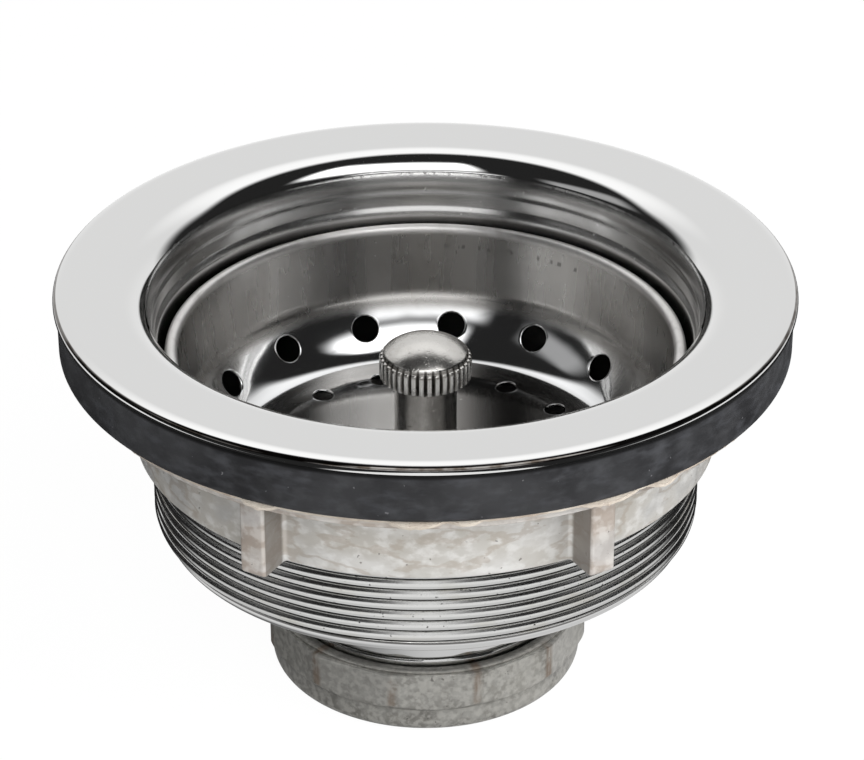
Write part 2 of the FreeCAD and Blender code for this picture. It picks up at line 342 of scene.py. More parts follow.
add_rows([(flange_radius, 0.0)], MIRROR)
add_rows(arc(edge_centre, edge_roll, 0, brow_start, 12), MIRROR)
add_rows(arc(brow_centre, brow_roll, brow_start, flat, 8)[1:], MIRROR)
flat_start = outline[-1]
flat_end = arc(mouth_centre, mouth_roll, flat, flat, 1)[0]
for step in range(1, 8):
    share = step / 8
    add_rows([tuple(a + (b - a) * share for a, b in zip(flat_start, flat_end))], MIRROR)
add_rows(arc(mouth_centre, mouth_roll, flat, buff_line - buff_half, 24), MIRROR)
add_rows(arc(mouth_centre, mouth_roll - buff_groove, buff_line, buff_line, 1)[:1], SATIN)
add_rows(arc(mouth_centre, mouth_roll, buff_line + buff_half, 180, 10), SATIN)
for ease in (first_ease, second_ease):
    for step in range(1, 11):
        share = step / 10
        eased = share * share * (3 - 2 * share)
        step_radius = mouth_radius - wall_step * (ease["before"] + ease["share"] * eased)
        add_rows([(step_radius, -mouth_drop - ease["drop"] - ease["length"] * share)], SATIN)
add_rows([(wall_radius, wall_bottom + straight_wall)], SATIN)
add_rows(funnel_in, SATIN)
add_rows([(neck_inner, neck_top_inside), (neck_inner, neck_bottom), (neck_root, neck_bottom)], SATIN)
add_thread(neck_root, neck_bottom, neck_turns, neck_pitch, NECK_THREAD, neck_turn)
for neck_height in (neck_shoulder, neck_shoulder + shoulder_height, neck_top):
    add_rows([(neck_crest, neck_height)], MIRROR)
add_rows(funnel_out, MIRROR)
add_thread(thread_root, wall_bottom, thread_turns, thread_pitch, WALL_THREAD, wall_turn)
add_rows([(thread_root, thread_top), (thread_crest, -mouth_drop - plain_band)], MIRROR)
add_rows(arc(mouth_centre, mouth_roll - body_sheet, 180, flat, 16), MIRROR)
add_rows(arc(lip_centre, lip_roll - body_sheet, flat, 0, 6), MIRROR)

strainer_body = turned("strainer_cup", outline, columns)
mark_rows(strainer_body, "finish", finishes, columns)
mark_rows(strainer_body, "band", bands, columns)
mark_rows(strainer_body, "climb", climbs, columns)
turn_marks = strainer_body.data.attributes.new("turn", "FLOAT", "POINT")
turn_marks.data.foreach_set("value", [c / columns for row in outline for c in range(columns + 1)])

start, sizes = shape_tree("rolled_thread", [
    "Band", "Root radius", "Depth", "Pitch", "Low", "High", "Run-out", "Start", "Groove", "Weld"])
climb = start.node("GeometryNodeInputNamedAttribute", {"data_type": "FLOAT"}, {"Name": "climb"})
turn = start.node("GeometryNodeInputNamedAttribute", {"data_type": "FLOAT"}, {"Name": "turn"})
band = start.node("GeometryNodeInputNamedAttribute", {"data_type": "FLOAT"}, {"Name": "band"})
height = sizes["Low"] + sizes["Pitch"] * (climb + turn - 1.0 - sizes["Start"])
height = height.larger(sizes["Low"]).smaller(sizes["High"])
from_groove = 0.5 - abs(climb.math("FRACT", climb) - 0.5)
crest = from_groove.between(groove_floor, sizes["Groove"]) * groove_flank + from_groove * crest_crown
fade = (height - sizes["Low"]) / sizes["Run-out"]
fade = fade.smaller((sizes["High"] - height) / sizes["Run-out"]).between(0.0, 1.0)
radius = sizes["Root radius"] + sizes["Depth"] * crest * fade
angle = turn * (2 * math.pi)
spot = start.node(
    "ShaderNodeCombineXYZ", {},
    {"X": radius * angle.math("COSINE", angle), "Y": radius * angle.math("SINE", angle), "Z": height})
chosen = start.node(
    "FunctionNodeCompare", {"data_type": "FLOAT", "operation": "EQUAL"},
    {"A": band, "B": sizes["Band"], "Epsilon": 0.1})
moved = start.node(
    "GeometryNodeSetPosition", {},
    {"Geometry": sizes["Geometry"], "Selection": chosen, "Position": spot})
end_tree(moved, sizes["Finish"], sizes["Weld"])

stainless, paint, shader = new_finish("polished_stainless")
place, radius, height = round_place(paint)
finish_mark = mark(paint, "finish")
satin = finish_mark.between(0.4, 0.6) - finish_mark.between(1.4, 1.6)
threaded = finish_mark.between(1.4, 1.6)
polish = grain(paint, place, 60.0, 2.0)
haze = grain(paint, place, 900.0, 4.0)
rings = grain(paint, place, 14.0, 4.0, (1, 1, 160))
granules = grain(paint, place, 3200.0, 2.0)
pits = grain(paint, place, 1500.0, 2.0).between(0.69, 0.76)
stain = grain(paint, place, 120.0, 5.0, (1, 1, 3)).between(0.52, 0.75)
buff_height = mouth_centre[1] + mouth_roll * math.sin(math.radians(buff_line))
near_buff = 1.0 - abs(height - buff_height * mm).between(0.1 * mm, 0.5 * mm)
flecks = near_buff * grain(paint, place, 1300.0, 2.0).between(0.5, 0.7) * satin.larger(0.35) * 0.6
# A dark brownish band is painted round the outer edge of the flange's lip.
on_lip = radius.between((flange_radius - 0.58) * mm, (flange_radius - 0.42) * mm)
on_lip = on_lip * (1.0 - radius.between((flange_radius - 0.15) * mm, (flange_radius - 0.07) * mm))
lip_dark_band = on_lip * (0.85 + grain(paint, place, 300.0, 3.0).between(0.45, 0.65) * 0.15)
colour = blend(paint, satin, (0.79, 0.79, 0.785, 1), (0.70, 0.695, 0.685, 1))
colour = blend(paint, threaded, colour, (0.70, 0.70, 0.69, 1))
colour = blend(paint, threaded * stain * 0.35, colour, (0.50, 0.47, 0.38, 1))
# Painted shade: the grooves of the wall's thread are painted near black.
groove_shade = threaded * (1.0 - radius.between((thread_root + 0.25) * mm, (thread_root + 0.5) * mm))
groove_shade = groove_shade * radius.between(neck_crest * mm, thread_root * mm)
colour = blend(paint, groove_shade * 0.85, colour, (0.07, 0.065, 0.06, 1))
# Painted shade: the satin inside from the wall's second step down is painted dark, in the gap by the
# basket rim.
low_wall_shade = satin * (1.0 - height.between((-mouth_drop - 4.9) * mm, (-mouth_drop - 4.2) * mm))
colour = blend(paint, low_wall_shade * 0.8, colour, (0.16, 0.155, 0.15, 1))
colour = blend(paint, (threaded * pits).larger(flecks), colour, (0.06, 0.055, 0.05, 1))
colour = blend(paint, lip_dark_band, colour, (0.075, 0.062, 0.052, 1))
colour.into(shader, "Base Color")
shine = 0.035 + polish * 0.02 + satin * (0.14 + rings * 0.08)
shine = shine + threaded * (0.06 + haze * 0.07) + pits * 0.08
shine.into(shader, "Roughness")
dents = satin * (granules * 0.5 + rings * 0.25) + threaded * (haze * 0.25 - pits * 0.7) + haze * 0.03
relief(paint, dents, 0.02 * mm, 0.6).into(shader, "Normal")
shader.inputs["Metallic"].default_value = 1.0
shader.inputs["Anisotropic"].default_value = 0.8
shader.inputs["Anisotropic Rotation"].default_value = 0.25

shaped(strainer_body, start, {
    "Band": WALL_THREAD, "Root radius": thread_root * mm, "Depth": (thread_crest - thread_root) * mm,
    "Pitch": thread_pitch * mm, "Low": wall_bottom * mm, "High": thread_top * mm,
    "Run-out": thread_runout * mm, "Start": thread_begin, "Groove": thread_groove,
    "Weld": 0.0, "Finish": stainless}, body_crease)
shaped(strainer_body, start, {
    "Band": NECK_THREAD, "Root radius": neck_root * mm, "Depth": (neck_crest - neck_root) * mm,
    "Pitch": neck_pitch * mm, "Low": neck_bottom * mm, "High": (neck_shoulder - shoulder_gap) * mm,
    "Run-out": neck_runout * mm, "Start": neck_begin, "Groove": neck_groove,
    "Weld": 1.0, "Finish": stainless}, body_crease)
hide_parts("strainer_body")
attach(strainer_body, "body")


# Crossbar in the outlet: a cross stamped from steel strip, its bent tabs spot welded to the neck.
# It keeps its plain mill finish, a little darker in cloudy patches.
plain_steel, paint, shader = new_finish("plain_stainless")
place = paint.node("ShaderNodeTexCoord", output="Object")
mill = grain(paint, place, 500.0, 4.0, (1, 1, 4))
cloud = grain(paint, place, 150.0, 3.0)
colour = blend(paint, cloud.between(0.4, 0.7), (0.62, 0.62, 0.61, 1), (0.50, 0.49, 0.47, 1))
colour.into(shader, "Base Color")
(0.22 + mill * 0.2).into(shader, "Roughness")
relief(paint, mill, 0.015 * mm, 0.4).into(shader, "Normal")
shader.inputs["Metallic"].default_value = 1.0


def refinish(node, finish):
    """Gives a solid that is shown as it is its finish."""
    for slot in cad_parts[node].material_slots:
        slot.material = finish


refinish("post_crossbar", plain_steel)


# Rubber gasket: a thick moulded ring that seals the flange's edge against the sink from below.
# It is matt black rubber, scuffed and dusty from handling, and it lies loose on the friction ring.
gasket_low, gasket_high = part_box("rubber_gasket")
gasket_outer = gasket_high.x / mm
gasket_inner = 45.85
gasket_top = gasket_high.z / mm
gasket_bottom = gasket_low.z / mm
gasket_edge = 0.7
gasket_columns = 180
gasket_crease = 60
gasket_outline = [(gasket_inner, gasket_bottom)]
gasket_outline += arc((gasket_outer - gasket_edge, gasket_bottom + gasket_edge), gasket_edge, -90, 0, 6)
gasket_outline += arc((gasket_outer - gasket_edge, gasket_top - gasket_edge), gasket_edge, 0, 90, 6)
gasket_outline.append((gasket_inner, gasket_top))

rubber, paint, shader = new_finish("black_rubber")
place, radius, height = round_place(paint)
cloud = grain(paint, place, 70.0, 5.0)
scuff = grain(paint, place, 260.0, 6.0, (1, 1, 2.5)).between(0.45, 0.75)
skin = grain(paint, place, 1800.0, 3.0)
smudge = grain(paint, place, 300.0, 8.0, (1, 1, 1.5)).between(0.42, 0.74)
dust = grain(paint, place, 1300.0, 1.0).between(0.77, 0.80)
low_edge = 1.0 - height.between((gasket_bottom + 0.2) * mm, (gasket_bottom + 1.0) * mm)
colour = blend(paint, cloud.between(0.3, 0.7), (0.017, 0.017, 0.0185, 1), (0.040, 0.0405, 0.043, 1))
colour = blend(paint, scuff * 0.6, colour, (0.066, 0.068, 0.075, 1))
colour = blend(paint, smudge * 0.25, colour, (0.094, 0.096, 0.102, 1))
colour = blend(paint, low_edge * scuff * 0.5, colour, (0.080, 0.077, 0.074, 1))
# Painted shadow: the band just under the flange's lip is painted near black.
lip_shadow = height.between((gasket_top - 1.0) * mm, (gasket_top - 0.45) * mm)
colour = blend(paint, dust * 0.5, colour, (0.22, 0.22, 0.23, 1))
blend(paint, lip_shadow * 0.9, colour, (0.004, 0.004, 0.004, 1)).into(shader, "Base Color")
(0.52 + scuff * 0.2 + cloud * 0.08).into(shader, "Roughness")
relief(paint, skin * 0.6 + scuff * 0.4, 0.05 * mm, 0.5).into(shader, "Normal")
shader.inputs["Specular IOR Level"].default_value = 0.2


def weld_turned(made, finish, crease):
    """Closes a turned piece's seam and gives it its material."""
    shaped(made, plain_start, {"Finish": finish}, crease)


plain_start, sizes = shape_tree("closed_seam", [])
end_tree(sizes["Geometry"], sizes["Finish"])

rubber_gasket = turned("sink_gasket", gasket_outline, gasket_columns)
weld_turned(rubber_gasket, rubber, gasket_crease)
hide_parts("rubber_gasket")
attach(rubber_gasket, "clamp_rings")


# Friction ring: a thin ring punched from tan pressed fibre, which lets the locknut turn under the
# rubber. Its edge is frayed and torn here and there, and it lies loose between the two.
ring_low, ring_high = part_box("friction_washer")
ring_outer = ring_high.x / mm
ring_inner = 43.4
ring_top = ring_high.z / mm
ring_bottom = ring_low.z / mm
ring_columns = 540
ring_crease = 50
fray = 0.35
fray_depth = 0.3
sound_edge = 1.2
edge_limit = flange_radius - 0.05
droop_share = 0.35
lower_bevel = 0.1
upper_bevel = 0.15
edge_lean = 0.04
tears = [(-115.0, 3.0, 1.15), (-91.5, 4.2, 1.2), (-84.0, 2.2, 0.8), (-62.0, 5.0, 0.95), (-52.0, 3.0, 1.0)]
points = []
faces = []
for column in range(ring_columns):
    degrees = 360.0 * column / ring_columns - 180
    angle = math.radians(degrees)
    around = Vector((math.cos(angle), math.sin(angle), 0))
    torn = 0.0
    for middle, half_width, reach in tears:
        torn = max(torn, reach * max(0.0, 1 - ((degrees - middle) / half_width) ** 2))
    ragged = noise.noise(around * 90) * 0.6 + noise.noise(around * 260) * 0.4
    edge = min(ring_outer - fray_depth + fray * ragged + torn * (1 + 0.6 * ragged), edge_limit)
    droop = droop_share * torn * (0.6 + 0.4 * noise.noise(around * 150))
    ring_outline = [
        (ring_inner, ring_bottom), (ring_outer - sound_edge, ring_bottom),
        (edge, ring_bottom + lower_bevel - droop), (edge + edge_lean, ring_top - upper_bevel - droop),
        (ring_outer - sound_edge, ring_top), (ring_inner, ring_top)]
    for radius_here, height_here in ring_outline:
        points.append((*(around * radius_here).xy, height_here))
ring_rows = len(ring_outline)
for column in range(ring_columns):
    here = column * ring_rows
    there = (column + 1) % ring_columns * ring_rows
    for row in range(ring_rows):
        above = (row + 1) % ring_rows
        faces.append((here + row, there + row, there + above, here + above))

fibre, paint, shader = new_finish("tan_fibre")
place = paint.node("ShaderNodeTexCoord", output="Object")
cloud = grain(paint, place, 220.0, 5.0)
threads = grain(paint, place, 2600.0, 3.0, (1, 1, 5))
colour = blend(paint, cloud.between(0.35, 0.65), (0.50, 0.42, 0.35, 1), (0.66, 0.60, 0.52, 1))
blend(paint, threads.between(0.55, 0.75) * 0.6, colour, (0.32, 0.23, 0.16, 1)).into(shader, "Base Color")
(0.85 + threads * 0.1).into(shader, "Roughness")
relief(paint, threads, 0.08 * mm, 0.8).into(shader, "Normal")
friction_washer = piece("fibre_ring", points, faces)
friction_washer.data.materials.append(fibre)
friction_washer.data.set_sharp_from_angle(angle=math.radians(ring_crease))
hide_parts("friction_washer")
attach(friction_washer, "clamp_rings")


# Locknut: a ring die-cast in zinc with a thin flange, a coved barrel and spanner lugs, screwed up the
# body's thread. It is left raw, so it is pale, stained and mottled from the die.
locknut_low, locknut_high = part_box("locknut")
locknut_top = locknut_high.z / mm
locknut_bottom = locknut_low.z / mm
locknut_outer = 54.0
locknut_bore = 43.3
barrel_outer = 45.6
cove_radius = 5.5
flange_height = 2.0
flange_round = 0.45
flange_foot = 95
bore_chamfer = 0.3
barrel_land = 0.8
barrel_round = 0.35
lug_count = 6
lug_half = 2.05
lug_tip = 51.1
lug_round = 0.5
lug_fillet = 0.7
lug_phase = 0.5
lug_end = 0.35
lug_end_draft = 0.8
outer_rows = barrel_outer - 0.7
lug_stop = locknut_top - flange_height + 0.05

cove_centre = (barrel_outer + cove_radius, locknut_top - flange_height - cove_radius)
flange_low = (locknut_outer - flange_round, locknut_top - flange_height + flange_round)
flange_high = (locknut_outer - flange_round, locknut_top - flange_round)
barrel_edge = (barrel_outer - barrel_round, locknut_bottom + barrel_round)
barrel_height = cove_centre[1] - locknut_bottom
locknut_outline = [(locknut_bore, locknut_bottom + bore_chamfer)]
locknut_outline.append((locknut_bore + bore_chamfer, locknut_bottom))
locknut_outline.append((barrel_outer - barrel_land, locknut_bottom))
locknut_outline += arc(barrel_edge, barrel_round, -90, 0, 4)
for step in range(1, 6):
    locknut_outline.append((barrel_outer, locknut_bottom + barrel_round + barrel_height * step / 6))
locknut_outline += arc(cove_centre, cove_radius, 180, flange_foot, 12)
locknut_outline += arc(flange_low, flange_round, -90, 0, 4)
locknut_outline += arc(flange_high, flange_round, 0, 90, 4)
locknut_outline += [(locknut_bore + bore_chamfer, locknut_top), (locknut_bore, locknut_top - bore_chamfer)]


def lug_outline():
    """Half of a lug seen from above, from its middle to the barrel: points of radius and side."""
    half = [(lug_tip, 0.0), (lug_tip, (lug_half - lug_round) / 2)]
    half += arc((lug_tip - lug_round, lug_half - lug_round), lug_round, 0, 90, 5)
    root = math.sqrt((barrel_outer + lug_fillet) ** 2 - (lug_half + lug_fillet) ** 2)
    half += [(lug_tip - lug_round - (lug_tip - lug_round - root) * s / 3, lug_half) for s in (1, 2)]
    half += arc((root, lug_half + lug_fillet), lug_fillet, 270, 180, 5)
    return half


half_lug = lug_outline()
half_angles = [math.atan2(y, x) for x, y in half_lug]
half_reach = [math.hypot(x, y) for x, y in half_lug]
sector = math.pi / lug_count
open_steps = 14
lug_foot = half_angles[-1]
for step in range(1, open_steps + 1):
    half_angles.append(lug_foot * (1 - step / open_steps) + sector * step / open_steps)
    half_reach.append(0.0)
sector_angles = [-a for a in reversed(half_angles[1:])] + half_angles
sector_reach = list(reversed(half_reach[1:])) + half_reach


def sector_piece(name, outline, angles, reach_at):
    """One sector of a ring: a closed outline whose radius may change with the angle."""
    made_points = []
    for angle_index, angle_here in enumerate(angles):
        for radius_here, height_here in outline:
            reach = reach_at(angle_index, radius_here, height_here)
            made_points.append((reach * math.cos(angle_here), reach * math.sin(angle_here), height_here))
    tall = len(outline)
    made_faces = []
    for column in range(len(angles) - 1):
        for row in range(tall):
            here = column * tall
            above = (row + 1) % tall
            made_faces.append((here + row, here + tall + row, here + tall + above, here + above))
    return piece(name, made_points, made_faces)


def lug_reach(angle_index, radius_here, height_here):
    """The barrel's radius, or the lug's where it stands further out. The inner rows stay round."""
    outer_row = radius_here > outer_rows and height_here < lug_stop
    if not outer_row or sector_reach[angle_index] == 0.0:
        return radius_here
    near_end = max(0.0, lug_end - (height_here - locknut_bottom))
    return max(radius_here, sector_reach[angle_index] - near_end * lug_end_draft)


ring_start, sizes = shape_tree("ring_of_sectors", ["Count", "Phase"])
spots = ring_start.node("GeometryNodePoints", {}, {"Count": sizes["Count"]})
number = ring_start.node("GeometryNodeInputIndex")
angle = number * (2 * math.pi) / sizes["Count"] + sizes["Phase"]
turning = ring_start.node("ShaderNodeCombineXYZ", {}, {"Z": angle})
turning = ring_start.node("FunctionNodeEulerToRotation", {}, {"Euler": turning})
copies = ring_start.node(
    "GeometryNodeInstanceOnPoints", {},
    {"Points": spots, "Instance": sizes["Geometry"], "Rotation": turning})
end_tree(copies, sizes["Finish"])


def bearing_at(start, place):
    """The bearing of a place round the axis, in radians."""
    across = start.node("ShaderNodeSeparateXYZ", {}, {"Vector": place})
    return across.math("ARCTAN2", across.other("Y"), across)


many_turns = 1000.0
zinc, paint, shader = new_finish("raw_zinc")
place, radius, height = round_place(paint)
cloud = grain(paint, place, 45.0, 5.0)
swirl = grain(paint, place, 130.0, 8.0, (1, 1, 1.8)).between(0.42, 0.68)
stain = grain(paint, place, 85.0, 7.0, (1, 1, 2.2))
stain_line = 1.0 - abs(stain - 0.5).between(0.008, 0.035)
skin = grain(paint, place, 1500.0, 4.0)
pits = grain(paint, place, 1000.0, 2.0).between(0.71, 0.76)
flour = grain(paint, place, 420.0, 6.0, (1, 1, 1.4)).between(0.45, 0.66)
bearing = bearing_at(paint, place) - math.radians(lug_phase)
lug_turn = bearing / (2 * sector) + (many_turns + 0.5)
lug_turn = (lug_turn.math("FRACT", lug_turn) - 0.5) * (2 * sector)
sideways = abs(radius * lug_turn.math("SINE", lug_turn))
# Painted shade: the lugs' side faces are painted dark brown, as the shade in the corners under the flange.
lug_side_shade = 1.0 - abs(sideways - lug_half * mm).between(0.12 * mm, 0.3 * mm)
lug_side_shade = lug_side_shade * radius.between((barrel_outer + 0.2) * mm, (barrel_outer + 0.9) * mm)
lug_side_shade = lug_side_shade * (1.0 - radius.between((lug_tip - 0.55) * mm, (lug_tip - 0.3) * mm))
rim_wear = height.between((locknut_top - 1.5) * mm, (locknut_top - 0.8) * mm)
colour = blend(paint, cloud.between(0.35, 0.65), (0.55, 0.525, 0.48, 1), (0.67, 0.66, 0.635, 1))
colour = blend(paint, swirl * 0.55, colour, (0.84, 0.835, 0.82, 1))
colour = blend(paint, flour * 0.5, colour, (0.90, 0.895, 0.88, 1))
colour = blend(paint, stain_line * 0.4, colour, (0.40, 0.33, 0.26, 1))
lug_front = radius.between((lug_tip - 1.0) * mm, (lug_tip - 0.2) * mm) * (1.0 - rim_wear)
colour = blend(paint, lug_front * 0.4, colour, (0.58, 0.51, 0.47, 1))
colour = blend(paint, lug_front * stain.between(0.4, 0.58) * 0.7, colour, (0.43, 0.345, 0.28, 1))
lug_mottle = grain(paint, place, 560.0, 7.0).between(0.42, 0.6)
colour = blend(paint, lug_front * lug_mottle * 0.5, colour, (0.84, 0.815, 0.78, 1))
colour = blend(paint, rim_wear * 0.45, colour, (0.70, 0.645, 0.58, 1))
colour = blend(paint, lug_side_shade * 0.75, colour, (0.22, 0.19, 0.165, 1))
blend(paint, pits * 0.7, colour, (0.17, 0.15, 0.13, 1)).into(shader, "Base Color")
(0.42 + cloud * 0.25 - swirl * 0.1).into(shader, "Roughness")
(0.35 + swirl * 0.2).into(shader, "Metallic")
relief(paint, skin * 0.5 + swirl * 0.35 - pits * 0.8, 0.06 * mm, 0.6).into(shader, "Normal")

locknut = sector_piece("lugged_locknut", locknut_outline, sector_angles, lug_reach)
locknut_crease = 45
shaped(locknut, ring_start, {
    "Count": lug_count, "Phase": math.radians(lug_phase), "Finish": zinc}, locknut_crease)
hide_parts("locknut")
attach(locknut, "locknut")


# Tailpiece washer: a flat sealing ring moulded in white polyethylene, which lies on the coupling nut's
# lip and is squeezed between the neck and the tailpiece's flange.
white_washer, paint, shader = new_finish("white_washer")
place = paint.node("ShaderNodeTexCoord", output="Object")
cloud = grain(paint, place, 130.0, 4.0)
blend(paint, cloud, (0.74, 0.74, 0.71, 1), (0.86, 0.86, 0.84, 1)).into(shader, "Base Color")
(0.4 + cloud * 0.2).into(shader, "Roughness")
relief(paint, cloud, 0.05 * mm, 0.3).into(shader, "Normal")
refinish("tailpiece_washer", white_washer)


# Coupling nut: die-cast zinc with twelve flats over a round collar, screwed on the outlet neck to
# hold the tailpiece. The raw casting has gone dull and grey, with brown marks down its corners.
nut_low, nut_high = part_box("coupling_nut")
nut_top = nut_high.z / mm
nut_bottom = nut_low.z / mm
nut_flats = 12
nut_phase = 18.5
nut_bore = 23.05
nut_wall = 2.3
nut_apothem = nut_bore + nut_wall
nut_corner = nut_apothem / math.cos(math.pi / nut_flats)
boss_height = 0.3
boss_radius = nut_apothem - 0.3
boss_edge = 0.08
flats_height = 6.9
flats_top = nut_top - boss_height
flats_bottom = flats_top - flats_height
top_edge = [(0.0, 0.5), (0.0, 0.2), (0.08, 0.06), (0.22, 0.0)]
collar_radius = nut_apothem - 0.4
collar_edge = 2.2
corner_round = 0.22
corner_spread = math.radians(3.0)
tail_bore = 19.3
tail_chamfer = 0.2
lip_top = nut_bottom + 3.05
chamfer_height = 1.5
full_flats = flats_bottom + 2.5
nut_outline = [(tail_bore, nut_bottom + tail_chamfer), (tail_bore + tail_chamfer, nut_bottom)]
nut_outline += arc((collar_radius - collar_edge, nut_bottom + collar_edge), collar_edge, -90, 0, 10)
chamfer_rows = 9
for step in range(chamfer_rows + 1):
    share = step / chamfer_rows
    chamfer_radius = collar_radius + (nut_corner - collar_radius) * share
    nut_outline.append((chamfer_radius, flats_bottom + chamfer_height * share))
nut_outline.append((nut_corner, full_flats))
nut_outline += [(nut_corner - inward, flats_top - down) for inward, down in top_edge]
nut_outline += [(boss_radius, flats_top), (boss_radius, nut_top - boss_edge)]
nut_outline.append((boss_radius - boss_edge, nut_top))
nut_outline += [(nut_bore + bore_chamfer, nut_top), (nut_bore, nut_top - bore_chamfer)]
nut_outline += [(nut_bore, lip_top), (tail_bore, lip_top)]
half_flat = math.pi / nut_flats
half_steps = 14
crowding = 1.6
flat_angles = []
for step in range(-half_steps, half_steps + 1):
    share = step / half_steps
    flat_angles.append(half_flat * math.copysign(1 - (1 - abs(share)) ** crowding, share))


def flat_reach(angle_index, radius_here, height_here):
    """The flat's distance from the axis, its corner a little rounded, or the round form if smaller."""
    if radius_here <= collar_radius or height_here > flats_top + 0.01:
        return radius_here
    from_corner = half_flat - abs(flat_angles[angle_index])
    flat_here = nut_apothem / math.cos(flat_angles[angle_index])
    rounded = corner_round * max(0.0, 1 - from_corner / corner_spread) ** 2
    edge_back = nut_corner - radius_here if height_here > flats_bottom + 2.0 else 0.0
    return max(collar_radius, min(flat_here - rounded - edge_back, radius_here))


dull_zinc, paint, shader = new_finish("dull_zinc")
place, radius, height = round_place(paint)
cloud = grain(paint, place, 70.0, 6.0)
mottle = grain(paint, place, 460.0, 7.0).between(0.38, 0.66)
skin = grain(paint, place, 1700.0, 4.0)
pits = grain(paint, place, 1200.0, 2.0).between(0.69, 0.75)
across = paint.node("ShaderNodeSeparateXYZ", {}, {"Vector": place})
corner_phase = (bearing_at(paint, place) - math.radians(nut_phase)) / (2 * half_flat)
to_corner = abs(corner_phase.math("FRACT", corner_phase + (many_turns + 0.5)) - 0.5)
corner_mark = 1.0 - to_corner.between(0.015, 0.09)
worn_corner = (1.0 - to_corner.between(0.004, 0.024)) * mottle
flat_number = corner_phase.math("FLOOR", corner_phase + many_turns)
flat_tone = flat_number.math("FRACT", flat_number * 0.618)
on_flats = height.between((flats_bottom + 0.4) * mm, (flats_bottom + 1.6) * mm)
foot = 1.0 - height.between((nut_bottom + 0.6) * mm, (nut_bottom + 2.6) * mm)
brown = corner_mark * on_flats * grain(paint, place, 240.0, 5.0, (1, 1, 0.5)).between(0.42, 0.62)
colour = blend(paint, cloud.between(0.35, 0.68), (0.20, 0.193, 0.175, 1), (0.34, 0.33, 0.30, 1))
colour = blend(paint, mottle * 0.7, colour, (0.56, 0.55, 0.515, 1))
# Painted shade: the nut's left side is painted darker in cloudy patches, as the side turned from the
# light.
tarnish_and_shade = (1.0 - across.between(-24 * mm, 20 * mm)) * (0.2 + cloud * 0.4)
colour = blend(paint, tarnish_and_shade, colour, (0.10, 0.098, 0.09, 1))
# Painted shade: the collar is painted darker towards its bottom edge.
colour = blend(paint, foot * 0.5, colour, (0.13, 0.125, 0.115, 1))
grit = grain(paint, place, 1050.0, 7.0).between(0.4, 0.62)
colour = blend(paint, grit * 0.4, colour, (0.66, 0.645, 0.60, 1))
colour = blend(paint, on_flats * flat_tone * 0.35, colour, (0.58, 0.57, 0.54, 1))
colour = blend(paint, brown * 0.75, colour, (0.20, 0.135, 0.09, 1))
colour = blend(paint, worn_corner * on_flats * 0.35, colour, (0.62, 0.60, 0.56, 1))
blend(paint, pits * 0.7, colour, (0.10, 0.095, 0.085, 1)).into(shader, "Base Color")
(0.27 + mottle * 0.12 + cloud * 0.1).into(shader, "Roughness")
(0.66 + mottle * 0.15).into(shader, "Metallic")
relief(paint, skin * 0.6 + mottle * 0.3 - pits * 0.8, 0.06 * mm, 0.6).into(shader, "Normal")

coupling_nut = sector_piece("outlet_nut", nut_outline, flat_angles, flat_reach)
nut_turn = math.radians(nut_phase) + half_flat
nut_crease = 50
shaped(coupling_nut, ring_start, {
    "Count": nut_flats, "Phase": nut_turn, "Finish": dull_zinc}, nut_crease)
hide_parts("coupling_nut")
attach(coupling_nut, "coupling_nut")


# Basket: a bowl pressed from stainless sheet, its rim curled outwards and two rings of drain holes
# punched through. The wall keeps a satin grain, and the bowl below the ridge is buffed to a mirror.
basket_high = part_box("basket_bowl")[1]
rim_top = basket_high.z / mm
rim_radius = basket_high.x / mm
basket_sheet = 0.6
rim_bead = 0.95
wall_slope = 84.0
wall_length = 10.0
ridge_bend = 3.0
bowl_slope = 50.0
bowl_length = 7.73
low_bulge = 3.2
high_bulge = 3.0
bulge_start = 2.8
floor_bend = 8.0
hole_count = 15
hole_phase = 11.0
large_hole = 2.2
large_half = 3.1
large_drop = 4.45
small_hole = 1.65
small_half = 2.5
small_offset = -0.23
hole_edge = 0.22
shank_hole = 3.1
side_steps = 12


def step_from(point, length, degrees):
    """The point a length away in a direction of the outline."""
    turn_here = math.radians(degrees)
    return (point[0] + length * math.cos(turn_here), point[1] + length * math.sin(turn_here))


rim_centre = (rim_radius - rim_bead, rim_top - rim_bead)
rim_inside = wall_slope + 90
rim_end = rim_inside + math.degrees(math.acos((rim_bead - basket_sheet) / rim_bead)) - 360
wall_start = step_from(rim_centre, rim_bead, rim_inside)
wall_end = step_from(wall_start, wall_length, wall_slope + 180)
ridge_centre = step_from(wall_end, ridge_bend, wall_slope + 90)
bowl_top = step_from(ridge_centre, ridge_bend, bowl_slope - 90)
bowl_end = step_from(bowl_top, bowl_length, bowl_slope + 180)
bend_centre = step_from(bowl_end, floor_bend, bowl_slope + 90)
basket_floor = bend_centre[1] - floor_bend
floor_length = bend_centre[0] - shank_hole
bend_length = floor_bend * math.radians(bowl_slope)
ridge_length = ridge_bend * math.radians(wall_slope - bowl_slope)
bowl_begin = floor_length + bend_length
ridge_begin = bowl_begin + bowl_length
wall_begin = ridge_begin + ridge_length
face_length = wall_begin + wall_length
bulge_begin = floor_length + bulge_start


